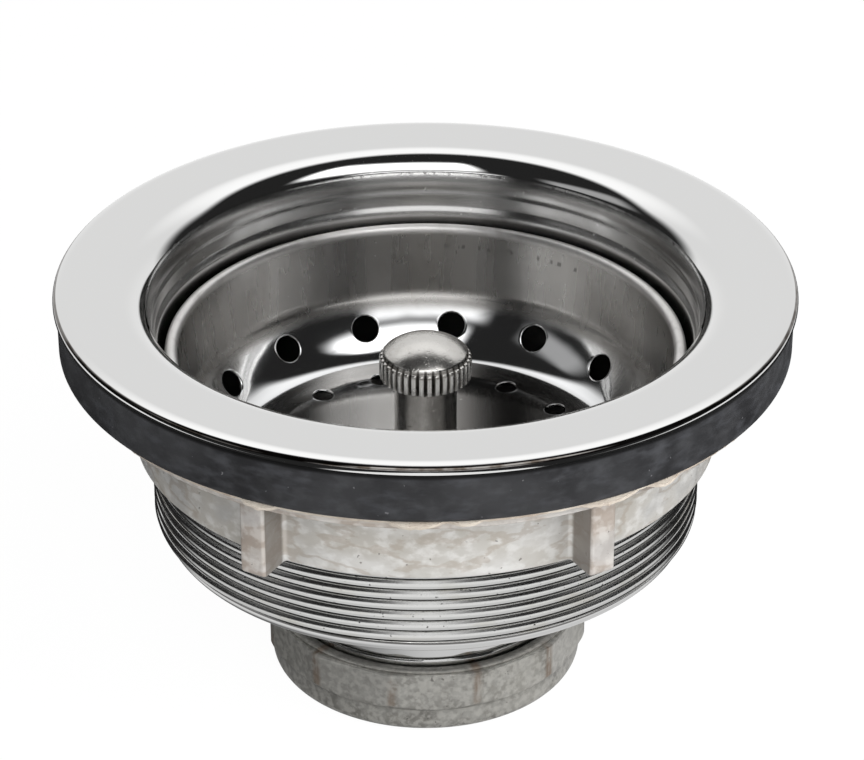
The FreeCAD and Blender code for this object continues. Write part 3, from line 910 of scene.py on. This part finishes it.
def on_sheet(distance, depth):
    """A point of the basket's sheet: how far up its inner face, and how deep below that face."""
    along = (distance - bulge_begin) / (ridge_begin - bulge_begin)
    if 0 < along < 1:
        depth = depth + along * (1 - along) * (low_bulge * (1 - along) + high_bulge * along)
    if distance <= floor_length:
        return (shank_hole + distance, basket_floor - depth)
    if distance <= bowl_begin:
        turn_here = -90 + math.degrees((distance - floor_length) / floor_bend)
        return step_from(bend_centre, floor_bend + depth, turn_here)
    if distance <= ridge_begin:
        foot = step_from(bowl_end, distance - bowl_begin, bowl_slope)
        return step_from(foot, depth, bowl_slope - 90)
    if distance <= wall_begin:
        turn_here = bowl_slope - 90 + math.degrees((distance - ridge_begin) / ridge_bend)
        return step_from(ridge_centre, ridge_bend + depth, turn_here)
    foot = step_from(wall_end, distance - wall_begin, wall_slope)
    return step_from(foot, depth, wall_slope - 90)


sector_half = math.pi / hole_count
sector_steps = [sector_half * (2 * step / side_steps - 1) for step in range(side_steps + 1)]
basket_points = []
basket_faces = []


def add_spot(spot, bearing_here):
    """Adds a point of the outline, turned to its bearing, and gives its number."""
    radius_here, height_here = spot
    basket_points.append(
        (radius_here * math.cos(bearing_here), radius_here * math.sin(bearing_here), height_here))
    return len(basket_points) - 1


def add_point(distance, bearing_here, depth):
    """Adds a point of the sheet and gives its number."""
    return add_spot(on_sheet(distance, depth), bearing_here)


def add_strip(first, second):
    """Faces between two rows of points, the second after the first on the way along the outline."""
    for here in range(len(first) - 1):
        basket_faces.append((first[here], second[here], second[here + 1], first[here + 1]))


def add_rows_of_sheet(distances, depth, outward):
    """A plain stretch of one face of the sheet."""
    rows = [[add_point(d, b, depth) for b in sector_steps] for d in distances]
    for low_row, high_row in zip(rows, rows[1:]):
        if outward:
            add_strip(low_row, high_row)
        else:
            add_strip(high_row, low_row)


def add_punched(middle, reach, hole, low, high):
    """A stretch of both faces with a round hole through it, its edges rolled over by the punch."""
    border = [(low, b) for b in sector_steps[:-1]]
    border += [(low + (high - low) * s / side_steps, sector_half) for s in range(side_steps)]
    border += [(high, b) for b in reversed(sector_steps[1:])]
    border += [(high - (high - low) * s / side_steps, -sector_half) for s in range(side_steps)]
    loops = []

    def add_loop(radius_here, depth, spread):
        """A loop of points between the hole, at spread 0, and the border, at spread 1."""
        loop = []
        for distance, bearing_here in border:
            up = distance - middle
            side = bearing_here * reach
            size = math.hypot(up, side)
            round_up = up / size * radius_here
            round_side = side / size * radius_here
            up = round_up + (up - round_up) * spread
            side = round_side + (side - round_side) * spread
            loop.append(add_point(middle + up, side / reach, depth))
        loops.append(loop + loop[:1])

    spreads = [1.0, 0.62, 0.36, 0.18, 0.07, 0.0]
    for spread in spreads:
        add_loop(hole + hole_edge, 0.0, spread)
    for angle_here in (20, 45, 70, 90):
        turn_here = math.radians(angle_here)
        add_loop(hole + hole_edge * (1 - math.sin(turn_here)), hole_edge * (1 - math.cos(turn_here)), 0.0)
    lower_edge = hole_edge / 2
    for angle_here in (90, 60, 30, 0):
        turn_here = math.radians(angle_here)
        under = basket_sheet - lower_edge * (1 - math.cos(turn_here))
        add_loop(hole + lower_edge * (1 - math.sin(turn_here)), under, 0.0)
    for spread in reversed(spreads[:-1]):
        add_loop(hole + lower_edge, basket_sheet, spread)
    for outer_loop, inner_loop in zip(loops, loops[1:]):
        add_strip(outer_loop, inner_loop)


def evenly(low, high, steps):
    """Even steps from low to high, with both ends."""
    return [low + (high - low) * step / steps for step in range(steps + 1)]


small_middle = floor_length + small_offset
large_middle = ridge_begin - large_drop
small_span = (small_middle - small_half, small_middle + small_half)
large_span = (large_middle - large_half, large_middle + large_half)
plain_spans = [
    evenly(0.0, small_span[0], 8), evenly(small_span[1], large_span[0], 6),
    evenly(large_span[1], ridge_begin, 3), evenly(ridge_begin, wall_begin, 8),
    evenly(wall_begin, face_length, 8)]
for span in plain_spans[:-1]:
    add_rows_of_sheet(span, 0.0, True)
    add_rows_of_sheet(span, basket_sheet, False)
rim_reach = math.sqrt(rim_bead ** 2 - (rim_bead - basket_sheet) ** 2)
add_rows_of_sheet(plain_spans[-1], 0.0, True)
add_rows_of_sheet(evenly(wall_begin, face_length - rim_reach, 8), basket_sheet, False)
add_punched(small_middle, bend_centre[0], small_hole, *small_span)
add_punched(large_middle, on_sheet(large_middle, 0.0)[0], large_hole, *large_span)
rim_spots = arc(rim_centre, rim_bead, rim_inside, rim_end, 20)
rim_rows = [[add_spot(spot, b) for b in sector_steps] for spot in rim_spots]
for low_row, high_row in zip(rim_rows, rim_rows[1:]):
    add_strip(low_row, high_row)
shank_rows = [[add_point(0.0, b, depth) for b in sector_steps] for depth in (basket_sheet, 0.0)]
add_strip(shank_rows[0], shank_rows[1])

basket_steel, paint, shader = new_finish("basket_stainless")
place, radius, height = round_place(paint)
ridge_height = bowl_top[1] * mm
satin = height.between(ridge_height - 2.4 * mm, ridge_height - 0.4 * mm)
rim_here = height.between((rim_top - 1.5) * mm, (rim_top - 0.8) * mm)
across = paint.node("ShaderNodeSeparateXYZ", {}, {"Vector": place})
streaks = grain(paint, place, 420.0, 3.0, (1, 1, 0.12))
slant = paint.node("ShaderNodeMapping", {}, {"Vector": place, "Rotation": (0.5, 0.35, 0.0)})
slanted = grain(paint, slant, 380.0, 4.0, (1, 1, 0.06)).between(0.5, 0.72)
granules = grain(paint, place, 2600.0, 2.0)
smear = grain(paint, place, 55.0, 4.0)
waves = grain(paint, place, 38.0, 1.0)
pit_row = 1.0 - abs(height - (rim_top - 3.4) * mm).between(0.15 * mm, 0.55 * mm)
right_half = across.between(-4 * mm, 10 * mm)
pit_dots = grain(paint, place, 900.0, 1.0, (1, 1, 0.35)).between(0.56, 0.64)
scratches = grain(paint, place, 240.0, 2.0, (1, 1, 30)).between(0.62, 0.72)
specks = grain(paint, place, 1300.0, 1.0).between(0.76, 0.79)
colour = blend(paint, satin, (0.77, 0.775, 0.78, 1), (0.49, 0.477, 0.46, 1))
colour = blend(paint, rim_here * 0.9, colour, (0.90, 0.885, 0.87, 1))
colour = blend(paint, satin * slanted * 0.25, colour, (0.36, 0.345, 0.325, 1))
colour = blend(paint, pit_row * right_half * pit_dots * 0.6, colour, (0.05, 0.045, 0.04, 1))
# Painted shade: the basket's floor is painted dark, more so towards +x.
floor_here = 1.0 - height.between((basket_floor + 0.2) * mm, (basket_floor + 1.2) * mm)
floor_shade = floor_here * (0.25 + across.between(-3 * mm, 8 * mm) * 0.5)
colour = blend(paint, floor_shade, colour, (0.13, 0.125, 0.12, 1))
blend(paint, specks * 0.5, colour, (0.9, 0.9, 0.9, 1)).into(shader, "Base Color")
shine = 0.05 + smear * 0.04 + satin * (0.17 + streaks * 0.07)
shine = shine + rim_here * 0.13 + scratches * rim_here * 0.15
shine.into(shader, "Roughness")
dents = satin * (granules * 0.3 + streaks * 0.12) + rim_here * scratches * 0.6
dents = dents + waves * (1.0 - satin) * 1.2
relief(paint, dents, 0.02 * mm, 0.5).into(shader, "Normal")
shader.inputs["Metallic"].default_value = 1.0
shader.inputs["Anisotropic"].default_value = 0.7
shader.inputs["Anisotropic Rotation"].default_value = 0.25

basket_bowl = piece("strainer_basket", basket_points, basket_faces)
basket_crease = 60
shaped(basket_bowl, ring_start, {
    "Count": hole_count, "Phase": math.radians(hole_phase), "Finish": basket_steel}, basket_crease)
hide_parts("basket_bowl")
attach(basket_bowl, "basket")


# Knob and post: one zinc casting, nickel plated, with a domed and knurled head on a stem, and a plain
# shank that goes down through the basket's floor. The plating is pitted on the stem.
knob_low, knob_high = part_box("knob_post")
dome_top = knob_high.z / mm
tail_end = knob_low.z / mm
knob_radius = 7.25
knurl_depth = 0.5
knurl_count = 36
knurl_height = 3.726
dome_shoulder = 1.0
crown_slope = 39.0
dome_height = 3.036
knurl_top = dome_top - dome_height
knob_bottom = knurl_top - knurl_height
knurl_root = knob_radius - knurl_depth
stem_radius = 4.9
stem_edge = 0.2
stem_fillet = 0.8
shank_radius = 3.0
tail_tip = 0.8
knob_columns = knurl_count * 8
knob_outline = [(0.0, tail_end), (shank_radius - tail_tip, tail_end), (shank_radius, tail_end + tail_tip)]
knob_outline += [(shank_radius, basket_floor), (stem_radius - stem_edge, basket_floor)]
knob_outline.append((stem_radius, basket_floor + stem_edge))
knob_outline += arc((stem_radius + stem_fillet, knob_bottom - stem_fillet), stem_fillet, 180, 90, 5)
knurl_marks = [0.0] * len(knob_outline)
knurl_rows = [
    (0.0, 0.0), (0.12, 0.55), (0.35, 1.0), (3.1, 1.0), (3.4, 0.95), (3.58, 0.8), (knurl_height, 0.35)]
for rise, share in knurl_rows:
    knob_outline.append((knurl_root, knob_bottom + rise))
    knurl_marks.append(share)
dome_points = arc((knurl_root - dome_shoulder, knurl_top), dome_shoulder, 0, 90 - crown_slope, 8)
crown_radius = dome_points[-1][0] / math.sin(math.radians(crown_slope))
dome_points += arc((0.0, dome_top - crown_radius), crown_radius, 90 - crown_slope, 90, 12)[1:]
knob_outline += dome_points
knurl_marks += [0.0] * len(dome_points)

start, sizes = shape_tree("straight_knurl", ["Teeth", "Depth"])
share = start.node("GeometryNodeInputNamedAttribute", {"data_type": "FLOAT"}, {"Name": "knurl"})
spot = start.node("GeometryNodeInputPosition")
bearing = bearing_at(start, spot)
tooth = bearing * sizes["Teeth"] / (2 * math.pi)
from_groove = 0.5 - abs(tooth.math("FRACT", tooth + many_turns) - 0.5)
reach = from_groove.between(0.02, 0.3) * sizes["Depth"] * share
outward = start.node("ShaderNodeCombineXYZ", {}, {
    "X": reach * bearing.math("COSINE", bearing), "Y": reach * bearing.math("SINE", bearing)})
moved = start.node(
    "GeometryNodeSetPosition", {}, {"Geometry": sizes["Geometry"], "Offset": outward})
end_tree(moved, sizes["Finish"])

plated, paint, shader = new_finish("plated_knob")
place, radius, height = round_place(paint)
peel = grain(paint, place, 700.0, 3.0)
bumps = grain(paint, place, 420.0, 2.0)
pits = grain(paint, place, 1500.0, 2.0).between(0.62, 0.72)
on_stem = 1.0 - height.between((knob_bottom - 0.5) * mm, knob_bottom * mm)
tooth = bearing_at(paint, place) * (knurl_count / (2 * math.pi)) + many_turns
from_groove = 0.5 - abs(tooth.math("FRACT", tooth) - 0.5)
on_knurl = radius.between((knurl_root - 0.35) * mm, (knurl_root - 0.05) * mm) * (1.0 - on_stem)
# The grooves of the knurl are painted near black.
knurl_groove_dark = (1.0 - from_groove.between(0.1, 0.24)) * on_knurl
tarnish_and_shade = grain(paint, place, 260.0, 5.0).between(0.5, 0.8)
colour = blend(paint, tarnish_and_shade * 0.5, (0.64, 0.625, 0.60, 1), (0.46, 0.43, 0.39, 1))
colour = blend(paint, pits * on_stem * 0.6, colour, (0.25, 0.22, 0.19, 1))
blend(paint, knurl_groove_dark * 0.85, colour, (0.07, 0.062, 0.055, 1)).into(shader, "Base Color")
(0.17 + peel * 0.16 - on_stem * 0.02).into(shader, "Roughness")
dents = bumps * (0.5 + on_stem) + peel * 0.7 - pits * (0.4 + on_stem * 0.8)
relief(paint, dents, 0.06 * mm, 0.6).into(shader, "Normal")
shader.inputs["Metallic"].default_value = 1.0

knob_post = turned("knurled_knob", knob_outline, knob_columns)
mark_rows(knob_post, "knurl", knurl_marks, knob_columns)
knob_crease = 40
shaped(knob_post, start, {
    "Teeth": float(knurl_count), "Depth": knurl_depth * mm, "Finish": plated}, knob_crease)
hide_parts("knob_post")
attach(knob_post, "basket")


# Stopper under the basket: steel sleeve, plates, nut and spring clip on the post, with a rubber disc
# between the plates that closes the outlet. They are shown as their solids.
for node in ("spacer_sleeve", "seal_plate", "seal_washer", "post_nut", "post_clip"):
    refinish(node, plain_steel)
refinish("stopper_seal", rubber)


# Studio: a pale table under the waste, soft lights before it and on both sides, a white sweep behind
# and a wide white panel above the camera, which the polished steel mirrors.
table_size = 6.0
table_height = cad_low.z
table_corners = [(-1, -1), (1, -1), (1, 1), (-1, 1)]
table_points = [(x * table_size / mm, y * table_size / mm, table_height / mm) for x, y in table_corners]
table = piece("table", table_points, [(0, 1, 2, 3)])
table_white, paint, shader = new_finish("table_white")
place = paint.node("ShaderNodeTexCoord", output="Object")
across = paint.node("ShaderNodeSeparateXYZ", {}, {"Vector": place})
seen = paint.node("ShaderNodeLightPath", output="Is Camera Ray")
mirrored = seen.other("Is Glossy Ray")
along = across.other("Y")
distance = across.math("SQRT", across * across + along * along)
strip = across.between(-80 * mm, -58 * mm) * (1.0 - across.between(76 * mm, 86 * mm))
# Painted shadow: in the table's mirrored glow, the strip is cut dark just behind the waste.
strip = strip * (1.0 - along.between(-8 * mm, 18 * mm))
# Painted shadow: a dark patch in the table's mirrored glow by the waste's left side.
beside_shadow = (1.0 - distance.between(42 * mm, 56 * mm)) * (1.0 - across.between(-42 * mm, 8 * mm))
strip = strip * (1.0 - beside_shadow * 0.85)
far_off = distance.between(250 * mm, 290 * mm) * along.between(-230 * mm, -120 * mm)
strip = strip.larger(far_off)
# Painted shade: the strip glows dimmer close to the waste.
strip_glow = 0.66 + distance.between(50 * mm, 85 * mm) * 0.3
glow = seen * 1.2 + mirrored * (0.02 + strip * strip_glow)
shadow_share = 0.2
glowing = paint.node("ShaderNodeEmission", {}, {"Color": (1, 1, 1, 1), "Strength": glow})
plain = paint.node("ShaderNodeBsdfDiffuse", {}, {"Color": (0.3, 0.3, 0.3, 1)})
share = seen * (1 - shadow_share) + mirrored
mixed = paint.node("ShaderNodeMixShader", {}, {0: share, 1: plain, 2: glowing})
mixed.into(table_white.node_tree.nodes["Material Output"], "Surface")
table.data.materials.append(table_white)


def softbox(name, azimuth, elevation, distance, width, tall, radiance):
    """A rectangular light that faces the waste. Azimuth 0 is the camera's side, 90 the right."""
    lamp = bpy.data.lights.new(name, "AREA")
    lamp.shape = "RECTANGLE"
    lamp.size = width
    lamp.size_y = tall
    lamp.energy = radiance * math.pi * width * tall
    holder = bpy.data.objects.new(name, lamp)
    turn_here = math.radians(azimuth)
    rise = math.radians(elevation)
    toward = Vector((
        math.sin(turn_here) * math.cos(rise), -math.cos(turn_here) * math.cos(rise), math.sin(rise)))
    holder.location = toward * distance
    holder.visible_glossy = False
    holder.rotation_euler = toward.to_track_quat("Z", "Y").to_euler()
    bpy.context.scene.collection.objects.link(holder)


softbox("right_key", azimuth=70, elevation=24, distance=0.8, width=0.5, tall=0.45, radiance=8.0)
softbox("front_key", azimuth=5, elevation=28, distance=0.8, width=0.5, tall=0.4, radiance=7.5)
softbox("left_side", azimuth=-75, elevation=22, distance=0.8, width=0.4, tall=0.35, radiance=3.4)

studio = bpy.data.worlds.new("studio")
studio.use_nodes = True
bpy.context.scene.world = studio
paint = Value(studio.node_tree)
away = paint.node("ShaderNodeTexCoord", output="Generated")
across = paint.node("ShaderNodeSeparateXYZ", {}, {"Vector": away})
along = across.other("Y")
rise = across.other("Z")
bearing = across.math("ARCTAN2", across, 0.0 - along) * math.degrees(1.0)
behind = along.between(0.2, 0.37) * (1.0 - abs(across).between(0.66, 0.85))
low_down = 1.0 - rise.between(0.1, 0.42)
high_up = rise.between(0.52, 0.84)
panel = bearing.between(-31, -20) * (1.0 - bearing.between(55, 70))
panel = panel * rise.between(0.62, 0.76) * (1.0 - rise.between(0.89, 0.96))
left_card = bearing.between(-105, -90) * (1.0 - bearing.between(-62, -50))
left_card = left_card * rise.between(0.42, 0.52) * (1.0 - rise.between(0.62, 0.72))
seen = paint.node("ShaderNodeLightPath", output="Is Camera Ray")
mirrored = seen.other("Is Glossy Ray")
soft = seen.other("Is Diffuse Ray")
front_wall = bearing.between(-38, -24) * (1.0 - bearing.between(24, 38))
front_wall = front_wall * rise.between(0.36, 0.44) * (1.0 - rise.between(0.55, 0.66))
sweep = 0.02 + behind * (0.84 + low_down * 0.05 + high_up * 0.36)
sweep = sweep + panel * 2.4 + left_card * 0.4 + front_wall * 1.35
from_right = across.between(-0.7, 0.8)
fill = 0.12 + from_right * 0.3
glow = seen + mirrored * sweep + soft * fill
backdrop = studio.node_tree.nodes["Background"]
backdrop.inputs["Color"].default_value = (1, 1, 1, 1)
glow.into(backdrop, "Strength")

camera = bpy.data.cameras.new("camera")
camera.sensor_width = 36.0
camera.lens = 136.0
camera_holder = bpy.data.objects.new("camera", camera)
camera_holder.location = (0.00100, -0.44497, 0.23372)
camera_holder.rotation_euler = (math.radians(60.605), 0.0, 0.0)
bpy.context.scene.collection.objects.link(camera_holder)
bpy.context.scene.camera = camera_holder
bpy.context.scene.view_settings.view_transform = "Standard"
